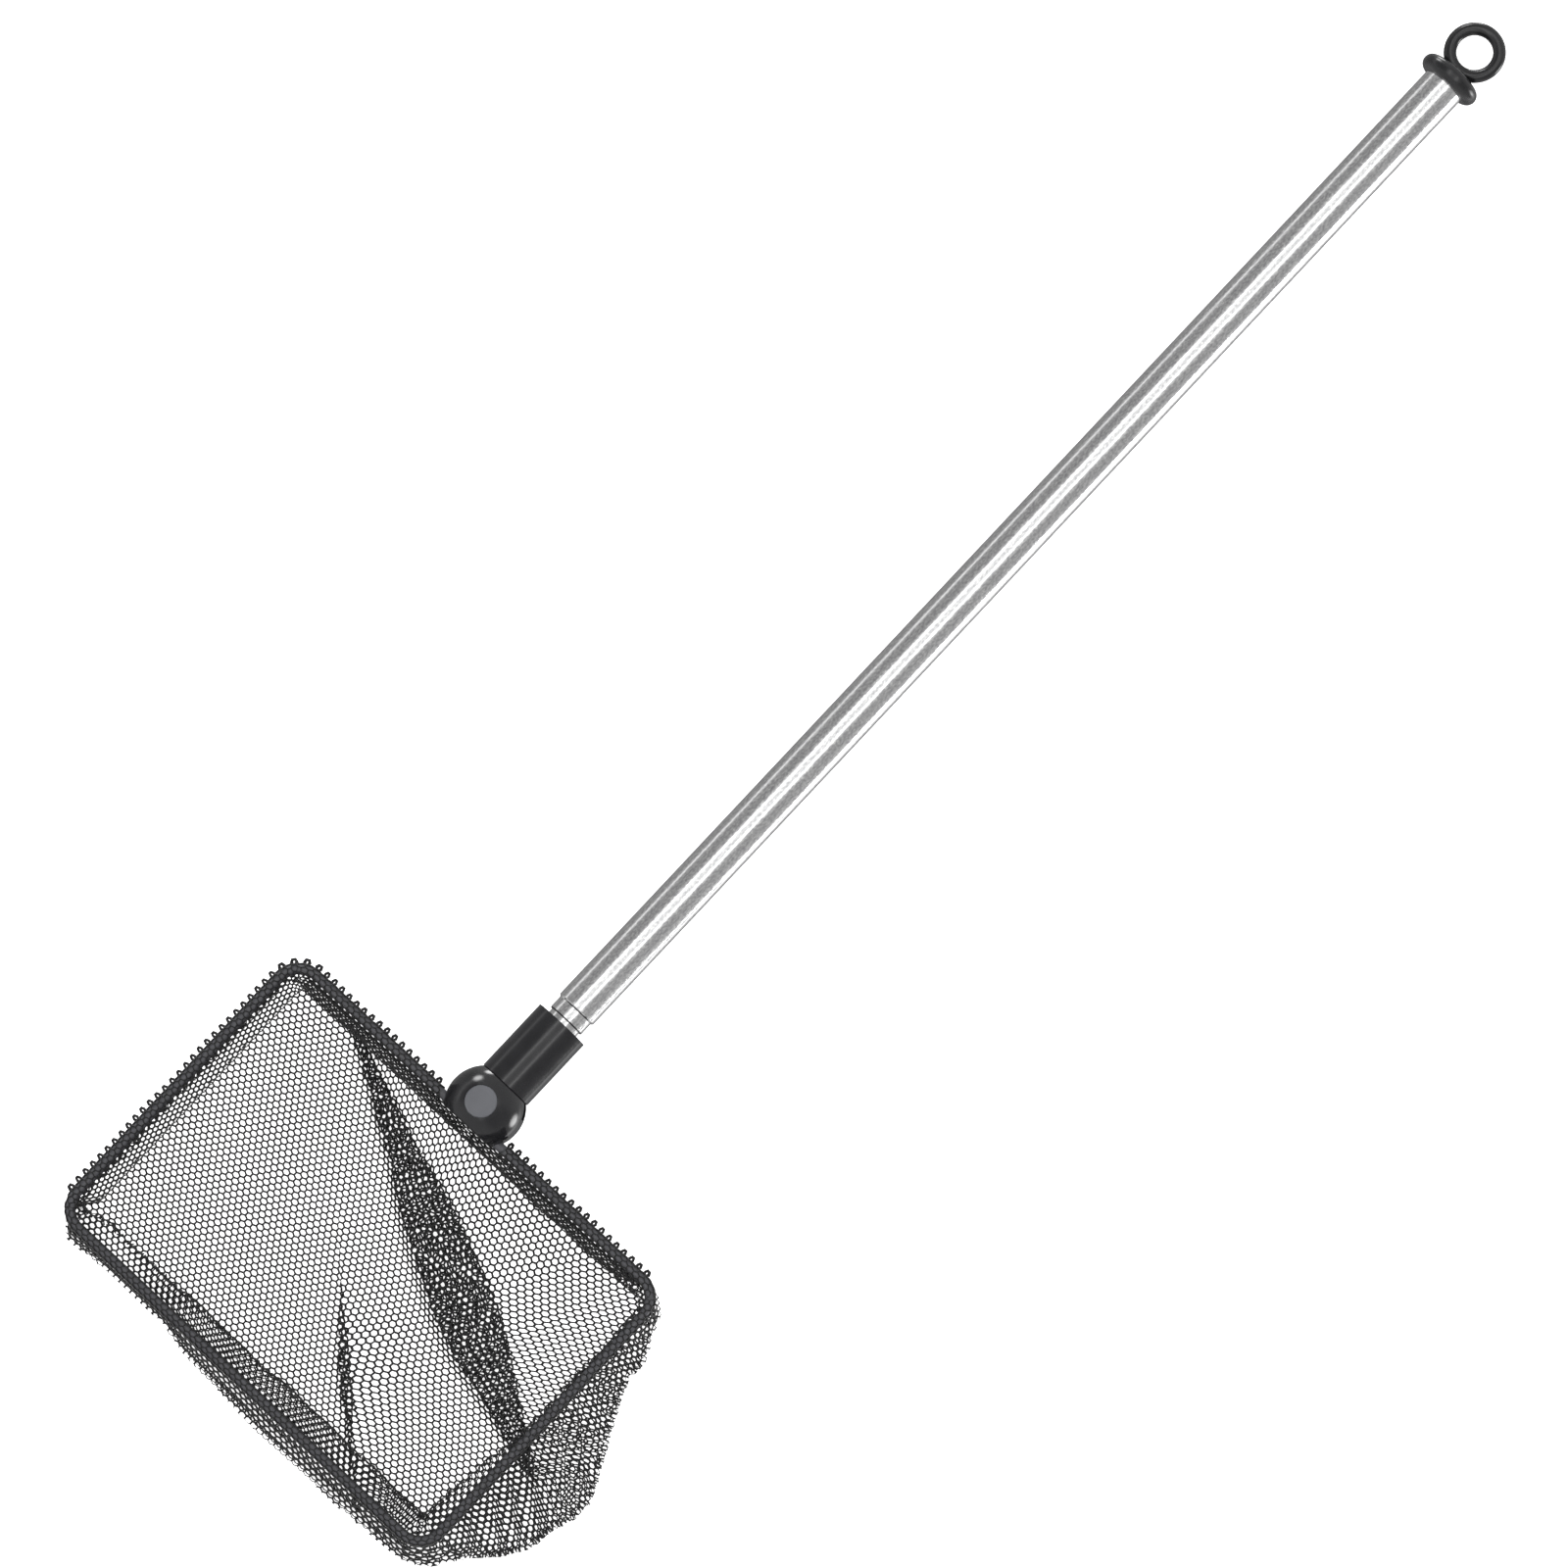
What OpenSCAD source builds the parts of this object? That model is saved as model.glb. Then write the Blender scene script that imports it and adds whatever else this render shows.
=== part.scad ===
// Leaf skimmer net on a telescoping pole: all sizes in mm.
// The pole lies along X with the hanging ring at +X, the net opens upwards (+Z),
// and the whole net rests on the plane z = 0.

/* [Pole] */
// Outer diameter of the largest tube
outer_diameter = 16; // [14:0.1:20]
// Wall thickness of all three tubes
tube_wall = 0.5; // [0.4:0.05:0.7]
// Length of the largest tube at its full diameter
outer_length = 449.7; // [250:1:700]
// Length of the swaged neck at the mouth of a tube
neck_length = 4.5; // [4.2:0.1:8]
// How far a neck is swaged in, on the radius
neck_drop = 0.75; // [0.6:0.05:1]
// Gap between the socket and the largest tube when the pole is pushed in
pole_gap = 1.85; // [0.6:0.05:4]

/* [Bushes and collars] */
// Wall of a mouth bush where it lines the neck
bush_wall = 0.25; // [0.2:0.01:0.4]
// Length of a mouth bush inside its neck
bush_length = 4; // [2:0.1:4.2]
// Thickness of a mouth bush's flange
bush_flange = 0.5; // [0.3:0.05:1]
// Length of the collar on the tail of each sliding tube
collar_length = 14; // [8:0.5:30]
// Width of the friction ring in its groove
ring_width = 3; // [2:0.1:5]
// Opening of the split in a friction ring
ring_split = 1.6; // [0.8:0.1:3]
// Distance left between a tail and the piece behind it
tail_gap = 3; // [1:0.5:20]

/* [End cap] */
// Length of the plug pressed into the tube
plug_length = 18; // [8:0.5:40]
// Outside diameter of the rounded bead
bead_diameter = 23.8; // [21:0.1:30]
// Thickness of the rounded bead
bead_thickness = 6.2; // [4:0.1:8]
// How far the bead laps over the end of the tube
bead_lap = 1.3; // [0:0.1:2.4]
// Outside diameter of the hanging ring
hang_diameter = 22.1; // [18:0.1:34]
// Thickness of the hanging ring
hang_thickness = 4.7; // [3:0.1:6]
// Width of the flat land inside the hanging ring
hang_land = 1.5; // [1:0.1:2]
// Centre of the hanging ring beyond the centre of the bead
hang_reach = 13.2; // [12:0.1:24]

/* [Socket] */
// Outside diameter of the socket
socket_diameter = 21; // [18:0.1:25]
// Distance from the ball's centre to the mouth of the socket
socket_reach = 39.3; // [34:0.1:60]
// How far the second tube stands inside the mouth of the socket
mouth_depth = 6.5; // [6:0.1:9]
// Solid web between the ball and the end of the smallest tube
socket_web = 3.2; // [2:0.1:6]
// Diameter of the cross pin that holds the smallest tube
pin_diameter = 2.5; // [1.5:0.1:3]

/* [Ball joint] */
// Diameter of the ball
ball_diameter = 29; // [27:0.1:34]
// Flat face on the net's side, from the ball's centre
ball_face = 9.2; // [9:0.1:12]
// Diameter of the round caps over the pivot screw
cap_diameter = 11.7; // [9:0.1:13]
// Thickness of a cap
cap_thickness = 1.2; // [0.8:0.1:2]
// Thickness of the socket's tongue
tongue_thickness = 5.2; // [4:0.1:7]
// Diameter of the eye of the tongue
eye_diameter = 8.4; // [7:0.1:8.6]
// Diameter of the pivot screw
screw_diameter = 3; // [2.5:0.1:3.5]
// Diameter of the pivot screw's head
head_diameter = 5.6; // [5:0.1:6.5]
// Height of the pivot screw's head
head_height = 2.4; // [1.5:0.1:2.6]
// Width across the flats of the pivot nut
nut_width = 5.5; // [5:0.1:6]
// Thickness of the spring washer
spring_thickness = 0.8; // [0.5:0.1:1]
// Thickness of each friction washer
washer_thickness = 0.5; // [0.3:0.05:1]
// Angle that the head tilts each way
tilt_angle = 45; // [20:1:48]
// Diameter of the dowels between the two halves of the ball
dowel_diameter = 2; // [1.2:0.1:2.4]

/* [Net frame] */
// Long side of the hoop, between wire centres
frame_long = 176; // [120:1:260]
// Short side of the hoop, between wire centres
frame_short = 121; // [90:1:180]
// Bend radius at the hoop's corners
corner_radius = 9; // [7:0.5:30]
// Diameter of the hoop's wire
wire_diameter = 3.5; // [2.5:0.1:3.6]
// Distance from the ball's centre to the wire
wire_reach = 6.8; // [6.6:0.1:7.2]
// How far the hoop sits off the pole's line
frame_offset = 3; // [0:0.5:10]

/* [Net] */
// Outside diameter of the sleeve of netting round the wire
sleeve_diameter = 5.2; // [4.6:0.1:7]
// Width of the doubled hem inside the wire
hem_width = 8; // [6:0.5:14]
// Thickness of the doubled hem
hem_thickness = 0.8; // [0.4:0.1:1]
// Width of the row of hem stitches
stitch_width = 1.4; // [0.8:0.1:2]
// Thickness of the row of hem stitches
stitch_thickness = 0.4; // [0.3:0.1:1]
// Thickness of the bag's netting, as a solid
bag_wall = 1; // [0.6:0.1:1.5]
// How far the bag spreads past the hoop at the side
side_slump = 30; // [5:1:50]
// How far the bag spreads past the hoop at the far end
front_slump = 7; // [2:1:25]
// Width of the overlocked seam round the bag's corner
seam_width = 1.4; // [0.8:0.1:3]

/* [Clearances] */
// Running clearance on the radius of what slides or turns
run_gap = 0.05; // [0.02:0.01:0.1]
// Gap on the radius between a collar and the tube it slides in
collar_gap = 0.15; // [0.1:0.01:0.25]
// Gap between the ball and the hollow end of the socket
ball_gap = 0.3; // [0.2:0.05:0.6]
// Gap round a screw, nut or washer in its seat
seat_gap = 0.1; // [0.05:0.05:0.3]
// Gap between the netting and what is next to it
cloth_gap = 0.3; // [0.2:0.05:0.6]

/* [Hidden] */
$fn = 96;
cut = 40;

// Tubes, from the outside in
outer_r = outer_diameter / 2;
function next_r(r) = r - neck_drop - tube_wall - bush_wall - run_gap;
mid_r = next_r(outer_r);
inner_r = next_r(mid_r);
step = neck_drop;

// Stations along the pole, from the ball's centre
outer_start = socket_reach + pole_gap + bush_flange;
outer_end = outer_start + neck_length + step + outer_length;
mid_start = socket_reach - mouth_depth + bush_flange;
mid_end = outer_end - plug_length - tail_gap;
inner_end = mid_end - tail_gap;
ball_r = ball_diameter / 2;
inner_start = ball_r + ball_gap + socket_web;
bead_x = outer_end + bead_thickness / 2 - bead_lap;
hang_x = bead_x + hang_reach;

// Heights in the ball
cap_r = cap_diameter / 2;
cap_top = sqrt(ball_r * ball_r - cap_r * cap_r);
cap_seat = cap_top - cap_thickness;
head_seat = cap_seat - head_height - 0.3;
nut_height = head_height;
spring_seat = head_seat - spring_thickness;
slot_half = tongue_thickness / 2 + washer_thickness + 2 * run_gap;
screw_r = screw_diameter / 2;
slot_angle = tilt_angle + 5;

// Hoop, seen from above
wire_r = wire_diameter / 2;
near_x = -wire_reach;
far_x = near_x - frame_short;
left_y = frame_long / 2 - frame_offset;
right_y = -frame_long / 2 - frame_offset;
notch_y = ball_r + 0.2;
rim_top = -hem_thickness / 2 - cloth_gap;

// Outline of the bag where it lies on the ground, moved outwards by e
function side_bulge(t) = side_slump * sin(180 * pow(t, 1.4));
function bag_outline(e) = concat(
    [[near_x - 6 + e, left_y - 6 + e], [near_x - 6 + e, right_y - e]],
    [for (t = [0.1 : 0.1 : 0.9]) [near_x - t * frame_short, right_y - side_bulge(t) - e]],
    [for (t = [0 : 0.1 : 0.9])
        [far_x - front_slump * sin(20 + 140 * t) - e, right_y + t * (frame_long - 6)]],
    [[far_x - e, left_y - 6 + e]]);
seam_out = cloth_gap + seam_width;
x_low = min([for (p = bag_outline(seam_out)) p[0]]);
x_high = hang_x + hang_diameter / 2;
y_low = min([for (p = bag_outline(seam_out)) p[1]]);
y_high = left_y + sleeve_diameter / 2;

// Moves a piece from the ball's centre to the middle of the object's footprint
module place() {
    translate([-(x_low + x_high) / 2, -(y_low + y_high) / 2, cap_top]) children();
}

// A piece turned about the pole's line: points are [radius, station]
module turned(points) {
    rotate([0, 90, 0]) rotate_extrude() polygon(points);
}

// A straight round bar or hole between two stations on the pole's line
module bar_x(x0, x1, r) {
    translate([x0, 0, 0]) rotate([0, 90, 0]) cylinder(h = x1 - x0, r = r);
}

// A round bar or hole along Z at a point
module bar_z(z0, z1, r, at = [0, 0]) {
    translate([at[0], at[1], z0]) cylinder(h = z1 - z0, r = r);
}

// Tube with a swaged neck at its mouth
module necked_tube(x0, x1, r) {
    neck_r = r - neck_drop;
    shoulder = x0 + neck_length;
    turned([
        [neck_r, x0], [neck_r, shoulder], [r - 0.2, shoulder + step * 0.6],
        [r, shoulder + step], [r, x1], [r - tube_wall, x1],
        [r - tube_wall, shoulder + step], [neck_r - tube_wall, shoulder],
        [neck_r - tube_wall, x0]
    ]);
}

// Flanged lining in a neck, which the next tube slides through
module mouth_bush(x0, r) {
    bore = next_r(r) + run_gap;
    neck_r = r - neck_drop;
    turned([
        [bore, x0 - bush_flange], [neck_r - 0.1, x0 - bush_flange], [neck_r - 0.1, x0],
        [neck_r - tube_wall, x0], [neck_r - tube_wall, x0 + bush_length],
        [bore, x0 + bush_length]
    ]);
}

// Collar on the tail of a sliding tube, grooved for its friction ring
module tail_collar(x1, r, bore) {
    x0 = x1 - collar_length;
    top = bore - collar_gap;
    floor_r = groove_floor(bore);
    g0 = x0 + (collar_length - ring_width) / 2 - run_gap;
    g1 = g0 + ring_width + 2 * run_gap;
    turned([
        [r, x0], [top - 0.3, x0], [top, x0 + 0.6], [top, g0], [floor_r, g0],
        [floor_r, g1], [top, g1], [top, x1 - 0.6], [top - 0.3, x1], [r, x1]
    ]);
}
function groove_floor(bore) = bore - 0.6;

// Split ring that rubs on the tube round it
module friction_ring(x1, bore) {
    x0 = x1 - (collar_length + ring_width) / 2;
    difference() {
        bar_x(x0, x0 + ring_width, bore - run_gap);
        bar_x(x0 - 1, x0 + ring_width + 1, groove_floor(bore) + run_gap);
        translate([x0 - 1, -ring_split / 2, 0])
            cube([ring_width + 2, ring_split, bore + 1]);
    }
}

module outer_tube() {
    color([0.78, 0.79, 0.8]) place() necked_tube(outer_start, outer_end, outer_r);
}

module outer_mouth_bush() {
    color([0.08, 0.08, 0.09]) place() mouth_bush(outer_start, outer_r);
}

module mid_tube() {
    color([0.74, 0.75, 0.77]) place() necked_tube(mid_start, mid_end, mid_r);
}

module mid_mouth_bush() {
    color([0.08, 0.08, 0.09]) place() mouth_bush(mid_start, mid_r);
}

module mid_tail_collar() {
    color([0.8, 0.66, 0.38]) place() tail_collar(mid_end, mid_r, outer_r - tube_wall);
}

module mid_friction_ring() {
    color([0.6, 0.61, 0.63]) place() friction_ring(mid_end, outer_r - tube_wall);
}

module inner_tube() {
    color([0.7, 0.71, 0.74]) place() difference() {
        bar_x(inner_start, inner_end, inner_r);
        bar_x(inner_start - 1, inner_end + 1, inner_r - tube_wall);
        socket_pin_body(-cut);
    }
}

module inner_tail_collar() {
    color([0.8, 0.66, 0.38]) place() tail_collar(inner_end, inner_r, mid_r - tube_wall);
}

module inner_friction_ring() {
    color([0.6, 0.61, 0.63]) place() friction_ring(inner_end, mid_r - tube_wall);
}

// Plug, bead and hanging ring, moulded as one
module end_cap() {
    bead_r = bead_thickness / 2;
    hang_r = hang_thickness / 2;
    hang_mid = hang_diameter / 2 - hang_r;
    land_r = hang_mid - sqrt(hang_r * hang_r - hang_land * hang_land / 4);
    color([0.09, 0.09, 0.1]) place() difference() {
        union() {
            bar_x(outer_end - plug_length, bead_x, outer_r - tube_wall);
            bar_x(outer_end, bead_x + bead_r * 0.7, bead_diameter / 2 - bead_r);
            difference() {
                translate([bead_x, 0, 0]) rotate([0, 90, 0]) rotate_extrude()
                    translate([bead_diameter / 2 - bead_r, 0]) circle(r = bead_r);
                bar_x(outer_end - plug_length, outer_end, outer_r);
            }
            bar_x(bead_x, hang_x - hang_mid, hang_r * 1.6);
            translate([hang_x, 0, 0])
                rotate_extrude() translate([hang_mid, 0]) circle(r = hang_r);
        }
        bar_z(-cut, cut, land_r, [hang_x, 0]);
        bar_x(outer_end - plug_length - 1, outer_end - 3, outer_r - tube_wall - 1.6);
    }
}

// Cross pin through the socket, or with a low start the hole for it
module socket_pin_body(z0 = 0.2 - socket_diameter / 2) {
    bar_z(z0, inner_r + 1.5, pin_diameter / 2, [inner_start + 6, 0]);
}

module socket_pin() {
    color([0.62, 0.63, 0.65]) place() socket_pin_body();
}

// Socket for the pole, with the tongue that turns in the ball
module pole_socket() {
    eye_r = eye_diameter / 2;
    half = tongue_thickness / 2;
    recess_r = mid_r + cloth_gap;
    recess_x = socket_reach - mouth_depth - bush_flange;
    color([0.1, 0.1, 0.11]) place() difference() {
        union() {
            rotate([0, 90, 0]) rotate_extrude() difference() {
                polygon([
                    [0, 0], [socket_diameter / 2, 0], [socket_diameter / 2, socket_reach],
                    [recess_r, socket_reach], [recess_r, recess_x], [inner_r, recess_x],
                    [inner_r, inner_start], [0, inner_start]
                ]);
                circle(r = ball_r + ball_gap);
            }
            translate([0, -eye_r, -half])
                cube([ball_r + ball_gap + socket_web / 2, eye_diameter, tongue_thickness]);
            bar_z(-half, half, eye_r);
        }
        bar_z(-cut, cut, screw_r + run_gap);
        socket_pin_body(-cut);
    }
}

// Space that the tongue sweeps inside the ball
module tongue_slot() {
    r = eye_diameter / 2 + ball_gap;
    back = [r * cos(slot_angle + 90), r * sin(slot_angle + 90)];
    out = back + cut * [cos(slot_angle), sin(slot_angle)];
    translate([0, 0, -slot_half]) linear_extrude(2 * slot_half) {
        circle(r = r);
        polygon([back, out, [cut * 2, out[1]], [cut * 2, -out[1]],
            [out[0], -out[1]], [back[0], -back[1]]]);
    }
}

module dowel_bodies() {
    for (side = [-1, 1]) bar_z(-3, 3, dowel_diameter / 2, [-1.5, side * (ball_r - 4.5)]);
}

// Upper half of the ball, counterbored down to the given seat
module ball_shell(seat) {
    difference() {
        intersection() {
            sphere(r = ball_r);
            translate([-ball_face, -cut, 0]) cube([cut * 2, cut * 2, cut]);
        }
        tongue_slot();
        bar_z(-cut, cut, screw_r + seat_gap);
        bar_z(seat, cut, head_diameter / 2 + seat_gap);
        bar_z(cap_seat, cut, cap_r + run_gap);
        translate([near_x, -cut, 0]) rotate([-90, 0, 0]) cylinder(h = 2 * cut, r = wire_r);
        dowel_bodies();
    }
}

module ball_front_shell() {
    color([0.1, 0.1, 0.11]) place() ball_shell(head_seat);
}

module ball_rear_shell() {
    color([0.1, 0.1, 0.11]) place() mirror([0, 0, 1]) difference() {
        ball_shell(spring_seat);
        nut_body(head_seat, cut, nut_width + 2 * seat_gap);
    }
}

module shell_dowels() {
    color([0.62, 0.63, 0.65]) place() dowel_bodies();
}

module pivot_screw() {
    color([0.66, 0.67, 0.69]) place() difference() {
        union() {
            bar_z(head_seat, head_seat + head_height, head_diameter / 2);
            bar_z(-head_seat - nut_height, head_seat, screw_r);
        }
        bar_z(head_seat + head_height / 2, cut, screw_r * 0.85, [0, 0]);
    }
}

// Six-sided prism across the given flats
module nut_body(z0, z1, width) {
    translate([0, 0, z0]) cylinder(h = z1 - z0, r = width / sqrt(3), $fn = 6);
}

module pivot_nut() {
    color([0.66, 0.67, 0.69]) place() difference() {
        nut_body(-head_seat - nut_height, -head_seat, nut_width);
        bar_z(-cut, cut, screw_r);
    }
}

module spring_washer() {
    color([0.6, 0.61, 0.63]) place() difference() {
        bar_z(-head_seat, -spring_seat, nut_width / 2);
        bar_z(-cut, cut, screw_r + seat_gap);
        translate([0, -0.4, -cut]) cube([cut, 0.8, 2 * cut]);
    }
}

module friction_washers() {
    low = tongue_thickness / 2 + run_gap;
    color([0.85, 0.85, 0.82]) place() for (z = [low, -low - washer_thickness]) {
        difference() {
            bar_z(z, z + washer_thickness, eye_diameter / 2);
            bar_z(-cut, cut, screw_r + seat_gap);
        }
    }
}

// Flat round cap with a bevelled edge, facing up
module cap_body() {
    translate([0, 0, cap_seat]) rotate_extrude() polygon([
        [0, 0], [cap_r, 0], [cap_r, cap_thickness - 0.3],
        [cap_r - 0.3, cap_thickness], [0, cap_thickness]
    ]);
}

module front_cap() {
    color([0.43, 0.43, 0.45]) place() cap_body();
}

module rear_cap() {
    color([0.43, 0.43, 0.45]) place() mirror([0, 0, 1]) cap_body();
}

// Round bar along Y at a given x
module bar_y(x, y0, y1, r) {
    translate([x, y0, 0]) rotate([-90, 0, 0]) cylinder(h = y1 - y0, r = r);
}

// Bar bent to the hoop's shape, broken at the ball for the given half gap
module hoop(r, half_gap) {
    c = corner_radius;
    bar_y(near_x, half_gap, left_y - c, r);
    bar_y(near_x, right_y + c, -half_gap, r);
    bar_y(far_x, right_y + c, left_y - c, r);
    for (y = [left_y, right_y])
        translate([0, y, 0]) bar_x(far_x + c, near_x - c, r);
    corners = [
        [near_x - c, left_y - c, 0], [far_x + c, left_y - c, 90],
        [far_x + c, right_y + c, 180], [near_x - c, right_y + c, 270]
    ];
    for (k = corners)
        translate([k[0], k[1], 0]) rotate([0, 0, k[2]])
            rotate_extrude(angle = 90) translate([c, 0]) circle(r = r);
}

// Flat shape of the hoop's inside, inset from the wire's centre
module hoop_area(inset) {
    r = max(corner_radius - inset, 2);
    x0 = far_x + inset + r;
    x1 = near_x - inset - r;
    y0 = right_y + inset + r;
    y1 = left_y - inset - r;
    for (x = [x0, x1], y = [y0, y1]) translate([x, y]) circle(r = r);
    translate([x0 - r, y0]) square([x1 - x0 + 2 * r, y1 - y0]);
    translate([x0, y0 - r]) square([x1 - x0, y1 - y0 + 2 * r]);
}

module frame_wire() {
    color([0.2, 0.2, 0.21]) place() hoop(wire_r, 0.5);
}

// Netting folded round the wire, with its doubled hem on the inside
module hem_sleeve() {
    sleeve_r = sleeve_diameter / 2;
    color([0.13, 0.13, 0.14]) place() difference() {
        union() {
            hoop(sleeve_r, notch_y);
            translate([0, 0, -hem_thickness / 2]) linear_extrude(hem_thickness) difference() {
                hoop_area(wire_r);
                hoop_area(hem_width);
            }
        }
        hoop(wire_r + 0.2, 0);
        translate([-ball_face - cloth_gap, -notch_y, -cut / 2]) cube([cut, 2 * notch_y, cut]);
    }
}

module hem_stitches() {
    color([0.05, 0.05, 0.05]) place() translate([0, 0, hem_thickness / 2])
        linear_extrude(stitch_thickness) difference() {
            hoop_area(hem_width - 1 - stitch_width);
            hoop_area(hem_width - 1);
        }
}

// Bag of netting: open at the hoop, lying spread on the ground
module net_bag() {
    slab = 0.5;
    color([0.16, 0.16, 0.17]) place() difference() {
        hull() {
            translate([0, 0, rim_top - slab]) linear_extrude(slab)
                hoop_area(hem_width / 2);
            translate([0, 0, -cap_top]) linear_extrude(slab) polygon(bag_outline(0));
        }
        hull() {
            translate([0, 0, rim_top - slab]) linear_extrude(slab + 1)
                hoop_area(hem_width / 2 + bag_wall);
            translate([0, 0, bag_wall - cap_top]) linear_extrude(slab)
                polygon(bag_outline(-bag_wall * 1.5));
        }
    }
}

// Overlocked edge round the bag's spread corner
module bag_seam() {
    color([0.04, 0.04, 0.04]) place() intersection() {
        translate([0, 0, -cap_top]) linear_extrude(bag_wall) difference() {
            polygon(bag_outline(cloth_gap + seam_width));
            polygon(bag_outline(cloth_gap));
        }
        translate([far_x - 2 * cut, right_y - 3 * cut, -cut])
            cube([2 * cut + frame_short / 2, 3 * cut + frame_long / 4, cut]);
    }
}

outer_tube();
outer_mouth_bush();
end_cap();
mid_tube();
mid_mouth_bush();
mid_tail_collar();
mid_friction_ring();
inner_tube();
inner_tail_collar();
inner_friction_ring();
pole_socket();
socket_pin();
ball_front_shell();
ball_rear_shell();
shell_dowels();
pivot_screw();
pivot_nut();
spring_washer();
friction_washers();
front_cap();
rear_cap();
frame_wire();
hem_sleeve();
hem_stitches();
net_bag();
bag_seam();
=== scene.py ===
from math import atan2, cos, pi, radians, sin

import bmesh
import bpy
import numpy as np
from mathutils import Matrix, Vector


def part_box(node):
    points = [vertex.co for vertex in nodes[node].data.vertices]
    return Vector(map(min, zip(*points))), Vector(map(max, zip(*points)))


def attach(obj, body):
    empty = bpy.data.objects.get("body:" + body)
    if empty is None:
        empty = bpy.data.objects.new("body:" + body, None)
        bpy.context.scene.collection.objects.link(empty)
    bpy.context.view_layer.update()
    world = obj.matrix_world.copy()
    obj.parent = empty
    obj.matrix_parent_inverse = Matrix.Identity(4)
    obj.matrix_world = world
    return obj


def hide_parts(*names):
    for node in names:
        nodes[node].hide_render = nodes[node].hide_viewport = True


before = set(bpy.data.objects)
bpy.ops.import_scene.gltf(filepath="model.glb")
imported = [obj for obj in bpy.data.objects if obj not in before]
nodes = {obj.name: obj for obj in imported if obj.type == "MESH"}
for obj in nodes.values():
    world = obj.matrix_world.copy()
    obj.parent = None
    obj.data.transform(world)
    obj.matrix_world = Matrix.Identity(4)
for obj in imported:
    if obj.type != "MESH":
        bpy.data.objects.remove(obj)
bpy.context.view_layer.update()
mm = 0.001

# where the ball and the hoop's wire are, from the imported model
capLow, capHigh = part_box("rear_cap")[0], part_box("front_cap")[1]
ball = (capLow + capHigh) / 2
wireLow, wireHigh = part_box("frame_wire")
wireRadius = (wireHigh.z - wireLow.z) / 2
nearX, farX = wireHigh.x - wireRadius, wireLow.x + wireRadius
leftY, rightY = wireHigh.y - wireRadius, wireLow.y + wireRadius
print("frame loaded, ball at", [round(v / mm, 2) for v in ball])


def linear(hexColour):
    channels = [int(hexColour[i:i + 2], 16) / 255 for i in (1, 3, 5)]
    return [c / 12.92 if c <= 0.04045 else ((c + 0.055) / 1.055) ** 2.4 for c in channels] + [1]


def addNode(material, kind, inputs=(), **settings):
    tree = material.node_tree
    node = tree.nodes.new(kind)
    for name, value in settings.items():
        setattr(node, name, value)
    for name, value in dict(inputs).items():
        if isinstance(value, bpy.types.NodeSocket):
            tree.links.new(value, node.inputs[name])
        else:
            node.inputs[name].default_value = value
    return node


def newMaterial(name, **inputs):
    material = bpy.data.materials.new(name)
    material.use_nodes = True
    shader = material.node_tree.nodes["Principled BSDF"]
    for socket, value in inputs.items():
        shader.inputs[socket.replace("_", " ")].default_value = value
    return material, shader


def connect(material, output, shader, socket):
    material.node_tree.links.new(output, shader.inputs[socket])


def surfaceNoise(material, source, scale, detail=4.0, stretch=(1, 1, 1)):
    # scale is in features per metre, so 1 / 0.002 makes 2 mm blotches
    where = addNode(material, "ShaderNodeMapping", {"Vector": source, "Scale": stretch})
    return addNode(material, "ShaderNodeTexNoise", {
        "Vector": where.outputs[0], "Scale": scale, "Detail": detail, "Roughness": 0.55})


def spread(material, source, low, high, fromLow=0.3, fromHigh=0.7):
    return addNode(material, "ShaderNodeMapRange", {
        "Value": source, "From Min": fromLow, "From Max": fromHigh,
        "To Min": low, "To Max": high}).outputs[0]


def tint(material, source, dark, light, fromLow=0.3, fromHigh=0.7):
    ramp = addNode(material, "ShaderNodeValToRGB", {"Fac": source})
    ramp.color_ramp.elements[0].position = fromLow
    ramp.color_ramp.elements[0].color = linear(dark)
    ramp.color_ramp.elements[1].position = fromHigh
    ramp.color_ramp.elements[1].color = linear(light)
    return ramp.outputs[0]


def bump(material, source, distance, strength=1.0, below=None):
    inputs = {"Height": source, "Distance": distance, "Strength": strength}
    if below is not None:
        inputs["Normal"] = below
    return addNode(material, "ShaderNodeBump", inputs).outputs[0]


steelLook = {
    "light": "#f4f4f3", "dark": "#c9c9cb", "shine": (0.1, 0.22),
    "mottle": 0.75 * mm, "mottleDepth": 0.006 * mm, "grain": 0.5 * mm, "grainDepth": 0.004 * mm,
}


def drawnSteel(name, look):
    # drawn and polished stainless tube: long clean reflections, faintly mottled, a few rub marks
    material, shader = newMaterial(name, Metallic=1.0)
    place = addNode(material, "ShaderNodeTexCoord").outputs["Object"]
    mottle = surfaceNoise(material, place, 1 / look["mottle"], 4, (0.6, 1, 1)).outputs[0]
    # finer than this the drawing lines would not show, so they are half a millimetre wide
    grain = surfaceNoise(material, place, 1 / look["grain"], 2, (0.02, 1, 1)).outputs[0]
    rubbed = surfaceNoise(material, place, 1 / (16 * mm), 5).outputs[0]
    connect(material, tint(material, mottle, look["dark"], look["light"]), shader, "Base Color")
    low, high = look["shine"]
    shine = addNode(material, "ShaderNodeMath", {
        0: spread(material, mottle, low, high), 1: spread(material, rubbed, 0, 0.08, 0.5, 0.75)},
        operation="ADD")
    connect(material, shine.outputs[0], shader, "Roughness")
    lower = bump(material, grain, look["grainDepth"], 0.6)
    connect(material, bump(material, mottle, look["mottleDepth"], 0.7, lower), shader, "Normal")
    return material


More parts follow.
